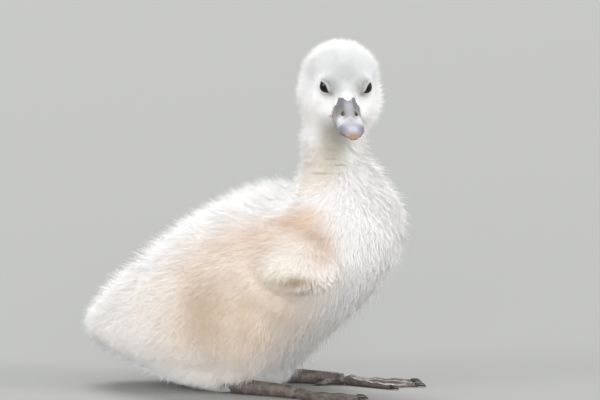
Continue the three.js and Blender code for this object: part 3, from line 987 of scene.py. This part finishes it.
horn = {
    "finish": {"Roughness": 0.36, "Specular IOR Level": 0.5, "Coat Weight": 0.2, "Coat Roughness": 0.25},
    "base": (146, 143, 152), "cloud": (140, 138, 152),
    "marks": [
        ((14.5, 5.4, 8), (8.5, 3.2, 4.8), (104, 105, 107), 0.95, 0.5),  # dark upper sides and horns
        ((11.5, 0, 10.4), (4, 4.2, 1.6), (92, 92, 97), 0.9, 0.5),  # below the wedge of down
        ((19, 0, 8), (7.5, 1.9, 4.4), (152, 152, 158), 0.75, 0.9),  # keel
        ((17, 3, 8), (3.5, 0.7, 3), (92, 90, 94), 0.5, 0.8),  # edge of the keel
        ((20.3, 3.6, 6.4), (3.4, 2.4, 2.8), (132, 124, 112), 0.7, 0.7),  # brownish round the nostril
        ((24.6, 5.2, 4.2), (3.6, 2.2, 2.4), (214, 216, 217), 0.75, 0.6),  # painted highlight on the bill's flank, on this line and the next
        ((26.4, 2.4, 5), (1.6, 2.0, 2), (196, 198, 204), 0.6, 0.7),
        ((29, 0, 4), (4.4, 4.4, 2.8), (166, 167, 175), 0.8, 0.8),  # plate
        ((31.5, 5.6, 2), (4, 1.9, 2.4), (98, 102, 110), 0.8, 0.8),  # slate sides of the tip
        ((36.4, 0, 0.4), (3.4, 8, 2.2), (136, 108, 82), 0.9, 0.8),  # warm tip
        ((13.6, 8, 2.6), (2.4, 1.3, 2.2), (150, 88, 44), 0.9, 0.4),  # fleshy corner of the gape
    ],
    # fork: a painted highlight along the raised V; nostril: painted shade filling its hole
    "nostril": (16, 14, 14), "fork": (212, 211, 216), "mouthLine": (74, 68, 72),
}


def makeHorn():
    paint = Paint("bill_horn_paint", horn["finish"])
    at = paint.within(billMatrix)
    x, y, z = paint.axes(at)
    cloud, speck, grain = paint.noise(5, 3), paint.noise(0.9), paint.noise(0.35, 2, at, (3, 1, 1))
    colour = paint.mix(cloud * 0.3, horn["base"], horn["cloud"])
    colour = paint.marked(colour, at, horn["marks"], 0.75 + 0.5 * cloud)
    # painted highlight along the raised V
    fork = abs(x - bill["ridge"][0] - bill["ridge"][1] * y)
    forkHighlight = (1 - paint.ramp(fork, 0.1, 1.6)) * paint.ramp(z, 1.5, 2.6)
    colour = paint.mix(forkHighlight * (0.05 + 0.5 * cloud), colour, horn["fork"])
    mouth = (1 - paint.ramp(z, 0.2, 1.3)) * paint.ramp(z, -0.9, -0.1) * (1 - paint.ramp(x, 33, 37))
    colour = paint.mix(mouth * 0.75, colour, horn["mouthLine"])
    longHalf, wideHalf = bill["nostrilHalf"]
    # painted shade filling the nostril's hole
    hole = paint.blob(at, (*bill["nostril"], 6), (longHalf * 1.05, wideHalf * 1.1, 9), 0.3)
    colour = paint.mix(hole, colour, horn["nostril"])
    rough = 0.3 + 0.16 * cloud + 0.12 * speck
    return paint.wear(paint.scaled(colour, 1.05 - 0.1 * speck), rough, grain * 0.5 + speck * 0.5, 0.1)


nailHorn = {
    "finish": {"Roughness": 0.3, "Coat Weight": 0.3, "Coat Roughness": 0.2},
    "base": (164, 162, 176), "streak": (150, 144, 152),
    "marks": [
        ((31.5, 0, 3.6), (3.4, 2.8, 1.6), (182, 182, 192), 0.7, 0.8),
        ((33, 4, 2.4), (4, 1.4, 2.2), (116, 118, 128), 0.7, 0.8),
        ((36.6, 0, 0.4), (3.6, 6, 2.3), (138, 108, 78), 0.95, 0.8),  # worn warm tip
    ],
}


def makeNailHorn():
    paint = Paint("nail_horn_paint", nailHorn["finish"])
    at = paint.within(billMatrix)
    streak = paint.noise(0.5, 2, at, (4, 1, 1))
    colour = paint.mix(streak * 0.25, nailHorn["base"], nailHorn["streak"])
    colour = paint.marked(colour, at, nailHorn["marks"])
    return paint.wear(paint.scaled(colour, 1.04 - 0.08 * streak), 0.26 + 0.12 * streak, streak, 0.06)


iris = {
    "finish": {"Roughness": 0.05, "Specular IOR Level": 0.3},
    "pupil": (2, 2, 3), "inner": (76, 44, 28), "outer": (48, 27, 18), "white": (36, 26, 22),
    "ring": (25, 36),  # degrees over which the inner colour turns into the outer
}


def makeEyePaint():
    paint = Paint("eye_paint", iris["finish"])
    away = paint.vector("SUBTRACT", paint.within(headMatrix), eye["centre"])
    axis = tuple(unit(np.array(eye["axis"])))
    facing = paint.vector("DOT_PRODUCT", paint.vector("NORMALIZE", away), axis, output="Value")
    lean = paint.add("ShaderNodeMath", {"operation": "ARCCOSINE"}, {0: facing}) * (180 / math.pi)
    ring = paint.ramp(lean, *iris["ring"]) + 0.4 * (paint.noise(0.35) - 0.5)
    colour = paint.mix(ring, iris["inner"], iris["outer"])
    colour = paint.mix(paint.ramp(lean, eye["iris"] - 2, eye["iris"] + 1), colour, iris["white"])
    pupil = 1 - paint.ramp(lean, eye["pupil"] - 1, eye["pupil"] + 1)
    return paint.wear(paint.mix(pupil, colour, iris["pupil"]))


cloudedPaints = {  # finish, dark and light tone, size of the grain and its relief in mm
    "lid_rim_paint": ({"Roughness": 0.4}, (34, 28, 27), (70, 62, 58), 0.3, 0.03),
    "leg_paint": ({"Roughness": 0.55, "Coat Weight": 0.08}, (62, 55, 52), (110, 101, 95), 0.8, 0.12),
    "claw_paint": ({"Roughness": 0.36, "Coat Weight": 0.2}, (30, 26, 25), (72, 64, 60), 0.6, 0.05),
}


def makeClouded(name):
    # Two tones clouded into each other, with a fine grain.
    finish, dark, light, size, relief = cloudedPaints[name]
    paint = Paint(name, finish)
    cloud, grain = paint.noise(size * 5, 3), paint.noise(size, 3)
    colour = paint.mix(paint.ramp(cloud * 0.6 + grain * 0.4, 0.3, 0.7), dark, light)
    return paint.wear(colour, finish["Roughness"] - 0.06 + 0.12 * grain, grain, relief)


downMaterial = makeDown()
dressed = [
    ([skinPiece, *eyelids], downMaterial), ([upperBill, lowerBill], makeHorn()), ([nail], makeNailHorn()),
    (eyeballs, makeEyePaint()), (eyeRims, makeClouded("lid_rim_paint")), (legSkins, makeClouded("leg_paint")),
    (claws, makeClouded("claw_paint")),
]
for objects, material in dressed:
    for obj in objects:
        obj.data.materials.clear()
        obj.data.materials.append(material)
print("finishes made")

# ---- coat: fine closed spindles, rooted on the skin in locks and combed along the bird
coat = {
    "patch": 0.003,  # across, on the skin's unwrap
    "rootDepth": 0.6, "offFloor": 0.12,  # mm under the skin and over the floor
    "bend": 0.38,  # where along its length a spindle is thickest and bends
    "perLock": 4, "tipDraw": 0.2, "thickness": 0.45, "roll": 0.6,
    "lockLength": (0.85, 1.12), "hairLength": (0.72, 1.12), "hairWidth": (0.75, 1.25),  # spread of sizes
    "wander": 5.5, "wanderTurn": 0.22, "lockTurn": 0.12,  # mm over which the lie drifts, and by how much
    "liftWander": 3.5, "lift": 2, "hairLift": 3.5,  # the same for the rise, in degrees
    "lockSpread": 0.26, "looseSpread": 0.3, "extraSpread": 0.25,  # how far single hairs turn aside
    "bareEye": 4, "looseBareEye": 12,  # degrees round the eyes' openings without coat
    "onBill": 12.0, "onLids": 16.0,  # hairs per square mm
    # length mm, width mm, spindles per square mm, rise at the root and at the tip in degrees, clump radius
    # mm, and how far the shading follows the skin under it
    "regions": {
        "body": (11, 0.31, 4.1, 28, 16, 0.5, 0.94),
        "back": (11.5, 0.31, 4.0, 40, 24, 0.5, 0.94),
        "thigh": (10, 0.29, 4.5, 28, 16, 0.5, 0.94),
        "tail": (10, 0.3, 4.3, 28, 16, 0.5, 0.94),
        "wing": (7.5, 0.27, 5.6, 28, 13, 0.65, 0.9),
        "neck": (6.2, 0.25, 6.2, 30, 18, 0.5, 0.92),
        "head": (4.4, 0.2, 8.6, 38, 24, 0.4, 0.8),
        "face": (1.8, 0.14, 14, 26, 12, 0.25, 0.85),
        "floor": (7, 0.3, 4.2, 24, 8, 0.6, 0.9),
    },
    # loose hairs that stand out: length, width, hairs per square mm, rise at the root and at the tip
    "loose": {
        "body": (12.5, 0.3, 0.5, 56, 30),
        "back": (15, 0.42, 1.0, 66, 44),
        "thigh": (11, 0.28, 0.5, 50, 28),
        "tail": (11.5, 0.3, 0.7, 56, 32),
        "wing": (8, 0.26, 0.8, 50, 26),
        "neck": (5.6, 0.28, 1.5, 74, 56),
        "head": (5.2, 0.3, 2.0, 82, 70),
        "face": (1.8, 0.08, 2, 46, 30),
        "floor": (3, 0.17, 0.05, 10, 4),
    },
}

lie = {  # where the coat points, along X, Y and Z; pairs are mm where a lie begins and is whole
    "under": (-1.0, 0, 0), "thigh": (-0.6, 0, -0.8), "tailOut": 0.012, "tailUp": 0.1,
    "low": (20, 75), "front": (38, 72), "neck": (95, 120),
    "wingFrom": (52, 84),  # x and z of the shoulder that the wing's down spreads from
    "billFrom": (24, 0, -3), "napeDrop": 0.8, "nape": (-14, 4),  # in the head's frame
    "eyeFrom": (16.6, 11.2, 4.8), "eyeReach": (3.2, 6.5),
}


def flowOf(points, normals, r):
    # The way the coat lies: from the bill over the crown, down the neck, back along the body.
    x, y, z = fromMiddle(points)
    local = toHead(points)
    none = 0 * x
    low, front = 1 - ramp(z, *lie["low"]), ramp(x, *lie["front"])
    flow = np.stack([-1 + 0.6 * front, none, -0.3 - 0.5 * low - 0.9 * front], 1)
    shoulderX, shoulderZ = lie["wingFrom"]
    layers = [
        (ramp(-normals[:, 2], 0.3, 0.9), np.array(lie["under"])),
        (r["thigh"], np.array(lie["thigh"])),
        (r["wing"], unit(np.stack([x - shoulderX, none, z - shoulderZ], 1))),
        (r["tail"], np.stack([-1 + none, lie["tailOut"] * y, lie["tailUp"] + none], 1)),
        (r["neck"], np.stack([-0.16 + 0.3 * ramp(z, *lie["neck"]), none, -1 + none], 1)),
    ]
    for share, way in layers:
        flow = flow * (1 - share[:, None]) + way * share[:, None]
    fromBill = unit(local - np.array(lie["billFrom"]))
    fromBill[:, 2] -= lie["napeDrop"] * (1 - ramp(local[:, 0], *lie["nape"]))
    aside = leftSide(local) - np.array(lie["eyeFrom"])
    nearEye = (1 - ramp(np.linalg.norm(aside, axis=1), *lie["eyeReach"]))[:, None]
    aside[:, 1] *= np.sign(local[:, 1])
    fromBill = fromBill * (1 - 0.75 * nearEye) + unit(aside) * nearEye
    flow = flow * (1 - r["head"][:, None]) + fromBill @ np.array(headTurn)[:3, :3].T * r["head"][:, None]
    return unit(across(flow, normals))


class Surface:
    # A mesh as arrays, to scatter roots on. The patches always come from the skin's unwrap.
    def __init__(self, obj, patches=None):
        mesh = obj.data
        mesh.calc_loop_triangles()
        self.corners = fetch(mesh.loop_triangles, "vertices", 3, np.int64)
        self.points = numbersOf(mesh)
        self.normals = unit(relaxed(normalsOf(mesh), edgesOf(mesh), 3 if patches is None else 0))
        a, b, c = (self.points[self.corners[:, i]] for i in range(3))
        self.middles = (a + b + c) / 3
        self.areas = np.linalg.norm(np.cross(b - a, c - a), axis=1) / 2 / mm**2
        if patches is None:
            self.loops = fetch(mesh.loop_triangles, "loops", 3, np.int64)
            self.uv = fetch(mesh.uv_layers["OFBake"].data, "uv", 2)
        else:
            self.loops = np.arange(self.corners.size).reshape(-1, 3)
            self.uv = patches.patchNear(self.points)[self.corners].reshape(-1, 2)

    def patchNear(self, points):
        tree = KDTree(len(self.points))
        for i, p in enumerate(self.points):
            tree.insert(p, i)
        tree.balance()
        ofPoint = np.zeros((len(self.points), 2))
        ofPoint[self.corners.ravel()] = self.uv[self.loops.ravel()]
        return np.array([ofPoint[tree.find(p)[1]] for p in points])

    def scatter(self, perSquareMm):  # one number, or one for each triangle
        picked = np.floor(np.cumsum(self.areas * perSquareMm) + rng.random()).astype(int)
        times = np.diff(np.concatenate([[0], picked]))
        chosen = np.repeat(np.arange(len(times)), times)
        s, t = rng.random(len(chosen)), rng.random(len(chosen))
        flip = s + t > 1
        s[flip], t[flip] = 1 - s[flip], 1 - t[flip]
        weight = np.stack([1 - s - t, s, t], 1)[:, :, None]
        found = [(values[self.corners[chosen]] * weight).sum(1) for values in (self.points, self.normals)]
        return found[0], unit(found[1]), (self.uv[self.loops[chosen]] * weight).sum(1)


def mixed(table, column, r):  # one of a table's values where the regions meet
    value = np.full(len(r["head"]), table["body"][column], float)
    for name in ("back", "thigh", "tail", "wing", "neck", "head", "face", "floor"):
        value += (table[name][column] - value) * r[name]
    return value


def wander(points, size):  # a slow drift between -1 and 1
    p = points / mm / size
    waves = [  # direction and length of each, and its share
        ((1.0, 0.7, -0.4), 0.3), ((-0.5, 1.1, 0.8), 0.3), ((0.9, -0.6, 1.2), 0.25), ((1.7, 1.3, -0.9), 0.2),
        ((-1.1, 1.9, 1.6), 0.2),
    ]
    return sum(np.sin(p @ np.array(way) * 1.3 + 2.1 * i) * share for i, (way, share) in enumerate(waves))


def bare(points, margin):  # where the bill and the eyes show, no coat grows
    beak = toBill(points)
    x, y, z = beak.T
    onBill = (x > downEdgeAt(beak) - 0.25) & (np.abs(y) < billAt("half", x) + 0.45)
    onBill &= (z > billAt("mouth", x) - 3.6) & (z < 14) & (x < 45)
    return onBill | (eyeDistance(toHead(points)) < margin)


def grow(roots, normals, uv, perLock, table, spread, bent):
    # Each root carries a lock of spindles; returns their points, normals, patches and pieces.
    r = regionsOf(roots)
    flow = flowOf(roots, normals, r)
    count = len(roots)
    total = count * perLock
    every = lambda a: np.repeat(a, perLock, 0)
    n, f, b = every(normals), every(flow), every(np.cross(normals, flow))
    clump = every(mixed(coat["regions"], 5, r)) * mm
    fx, bx = rng.normal(0, 1, (2, total)) * clump
    drift = wander(roots, coat["wander"])
    turn = every(rng.normal(0, coat["lockTurn"], count) + coat["wanderTurn"] * drift)
    turn = turn + rng.normal(0, spread, total)
    length = every(mixed(table, 0, r) * rng.uniform(*coat["lockLength"], count))
    length = length * rng.uniform(*coat["hairLength"], total) * mm
    width = every(mixed(table, 1, r)) * rng.uniform(*coat["hairWidth"], total) * mm
    lift = every(coat["lift"] * wander(roots + 0.03, coat["liftWander"]) * (1 - 0.7 * r["face"]))
    lift = lift + rng.normal(0, coat["hairLift"], total)
    rise = [np.radians(every(mixed(table, k, r)) + lift) for k in (3, 4)]
    way = f * np.cos(turn)[:, None] + b * np.sin(turn)[:, None]
    aside = f * fx[:, None] + b * bx[:, None]
    start = every(roots) + aside - n * coat["rootDepth"] * mm * every(1 - 0.6 * r["face"])[:, None]
    steps = [way * np.cos(a)[:, None] + n * np.sin(a)[:, None] for a in rise]
    middle = start + steps[0] * (length * coat["bend"])[:, None]
    tip = middle + steps[1] * (length * (1 - coat["bend"]))[:, None] - aside * coat["tipDraw"]
    axis = unit(tip - start)
    lateral = unit(np.cross(n, axis))
    up = unit(np.cross(axis, lateral))
    roll = rng.normal(0, coat["roll"], total)[:, None]
    wide = (lateral * np.cos(roll) + up * np.sin(roll)) * width[:, None] / 2
    deep = unit(np.cross(axis, wide)) * width[:, None] * coat["thickness"]
    if bent:
        points = np.stack([start, middle + wide, middle - wide, middle - deep, tip], 1)
        own = np.stack([up, unit(wide), -unit(wide), -unit(deep), up], 1)
    else:
        points = np.stack([start + wide, start - wide, start - deep, tip], 1)
        own = np.stack([unit(wide), -unit(wide), -unit(deep), up], 1)
    points[:, :, 2] = np.maximum(points[:, :, 2], coat["offFloor"] * mm)
    soft = every(mixed(coat["regions"], 6, r))[:, None, None]
    shade = unit(n[:, None, :] * soft + own * (1 - soft))
    patch = every(uv)[:, None, :] + rng.uniform(-0.5, 0.5, (total, points.shape[1], 2)) * coat["patch"]
    return points, shade, np.clip(patch, 0, 1), every(pieceOf(roots, r))


pieceNames = [
    "crown_left", "crown_right", "face", "throat_and_neck", "breast_left", "breast_right", "shoulder_left",
    "shoulder_right", "back", "flank_left", "flank_right", "haunch_left", "haunch_right", "rump_left",
    "rump_right",
]
# mm from the middle of the body where the pieces of the coat meet
cut = {"breast": 28, "shoulder": 66, "back": 74, "haunch": 46, "rump": -38}


def pieceOf(points, r):
    x, y, z = fromMiddle(points)
    right = (y < 0).astype(int)  # the right piece follows the left one in the list
    at = pieceNames.index
    front = np.where(z > cut["shoulder"], at("shoulder_left"), at("breast_left")) + right
    rear = np.where(z > cut["back"], at("back"), at("flank_left") + right)
    label = np.where(x > cut["breast"], front, rear)
    label = np.where((x < cut["breast"]) & (z < cut["haunch"]), at("haunch_left") + right, label)
    label = np.where(x < cut["rump"], at("rump_left") + right, label)
    label = np.where(r["neck"] > 0.5, at("throat_and_neck"), label)
    crown = at("crown_left") + (toHead(points)[:, 1] < 0).astype(int)
    return np.where(r["face"] > 0.3, at("face"), np.where(r["head"] > 0.5, crown, label))


spindleFaces = {  # by the number of a spindle's points
    5: np.array([(0, 2, 1), (4, 1, 2), (0, 1, 3), (4, 3, 1), (0, 3, 2), (4, 2, 3)]),
    4: np.array([(3, 0, 1), (3, 2, 0), (3, 1, 2), (0, 2, 1)]),
}


def spindleMesh(name, batches, material):
    # batches: (points, normals, patches) of spindles with five points or four each
    co, shade, uv, index, at = [], [], [], [], 0
    for points, normals, patch in batches:
        count, size = points.shape[:2]
        ids = at + np.arange(count)[:, None, None] * size + spindleFaces[size][None]
        co.append(points.reshape(-1, 3))
        shade.append(normals.reshape(-1, 3))
        uv.append(patch.reshape(-1, 2))
        index.append(ids.ravel())
        at += count * size
    co, shade, uv, index = (np.concatenate(a) for a in (co, shade, uv, index))
    mesh = bpy.data.meshes.new(name)
    mesh.vertices.add(len(co))
    mesh.vertices.foreach_set("co", co.ravel())
    mesh.loops.add(len(index))
    mesh.loops.foreach_set("vertex_index", index)
    mesh.polygons.add(len(index) // 3)
    mesh.polygons.foreach_set("loop_start", np.arange(len(index) // 3) * 3)
    mesh.update(calc_edges=True)
    smoothed(mesh)
    mesh.uv_layers.new(name="OFBake").data.foreach_set("uv", uv[index].ravel())
    mesh.normals_split_custom_set_from_vertices(shade)
    mesh.materials.append(material)
    return link(bpy.data.objects.new(name, mesh))


def billDown(surface):  # roots on the bill's own top, where the down runs out over it
    roots = surface.scatter(coat["onBill"])
    beak = toBill(roots[0])
    keep = (beak[:, 0] < downEdgeAt(beak) - 0.3) & (beak[:, 2] > waistAt(beak[:, 0]) - 0.5)
    return [a[keep] for a in roots]


def lidDown(surface):  # roots on a lid, outside its rim
    roots = surface.scatter(coat["onLids"])
    outwardFaced = np.sum(roots[1] * (roots[0] - np.array(headOrigin)), 1) > 0
    keep = (eyeDistance(toHead(roots[0])) > coat["bareEye"]) & outwardFaced
    return [a[keep] for a in roots]


def makeCoat():
    ground = Surface(skinPiece)
    r = regionsOf(ground.middles)
    roots = ground.scatter(mixed(coat["regions"], 2, r) / coat["perLock"])
    loose = ground.scatter(mixed(coat["loose"], 2, r))
    onHead = regionsOf(roots[0])["head"] > 0.5  # short hairs there are straight
    kept, grown = ~bare(roots[0], coat["bareEye"]), []
    for part, bent in ((~onHead & kept, True), (onHead & kept, False)):
        some = [a[part] for a in roots]
        grown.append(grow(*some, coat["perLock"], coat["regions"], coat["lockSpread"], bent))
    kept = ~bare(loose[0], coat["looseBareEye"])
    grown.append(grow(*(a[kept] for a in loose), 1, coat["loose"], coat["looseSpread"], False))
    extras = [billDown(Surface(upperBill, ground))] + [lidDown(Surface(lid, ground)) for lid in eyelids]
    for some in extras:
        grown.append(grow(*some, 1, coat["regions"], coat["extraSpread"], False))
    made = []
    for k, name in enumerate(pieceNames):
        batches = [tuple(a[label == k] for a in (points, shade, uv)) for points, shade, uv, label in grown]
        made.append(spindleMesh("coat_" + name, [b for b in batches if len(b[0])], downMaterial))
        print("  coat_" + name, len(made[-1].data.polygons), "triangles")
    return made


coatPieces = makeCoat()
print("coat:", sum(len(o.data.polygons) for o in coatPieces), "triangles")

# ---- what each piece rides on, stands for and takes its finish from
single = [skinPiece, upperBill, lowerBill, nail]
for piece in [*single, *coatPieces, *eyeballs, *eyeRims, *eyelids, *legSkins, *claws]:
    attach(piece, "root")
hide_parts(*fleshNodes)
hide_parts("bill_upper")
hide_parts("bill_lower")
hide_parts("bill_nail")
for k, side in enumerate(sides):
    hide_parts("eye_" + side)
    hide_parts("shank_" + side, "foot_" + side, "hind_toe_" + side)
for claw in claws:
    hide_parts(claw.name.replace("claw_horn", "claw"))
slots = {
    "buff_down": [skinPiece], "bill_horn": [upperBill, lowerBill], "nail_horn": [nail], "eye": eyeballs,
    "leg_skin": [*eyeRims, *legSkins], "claw_horn": claws, "white_down": eyelids[:],
}
for piece in coatPieces:
    white = any(word in piece.name for word in ("crown", "face", "throat"))
    slots["white_down" if white else "buff_down"].append(piece)
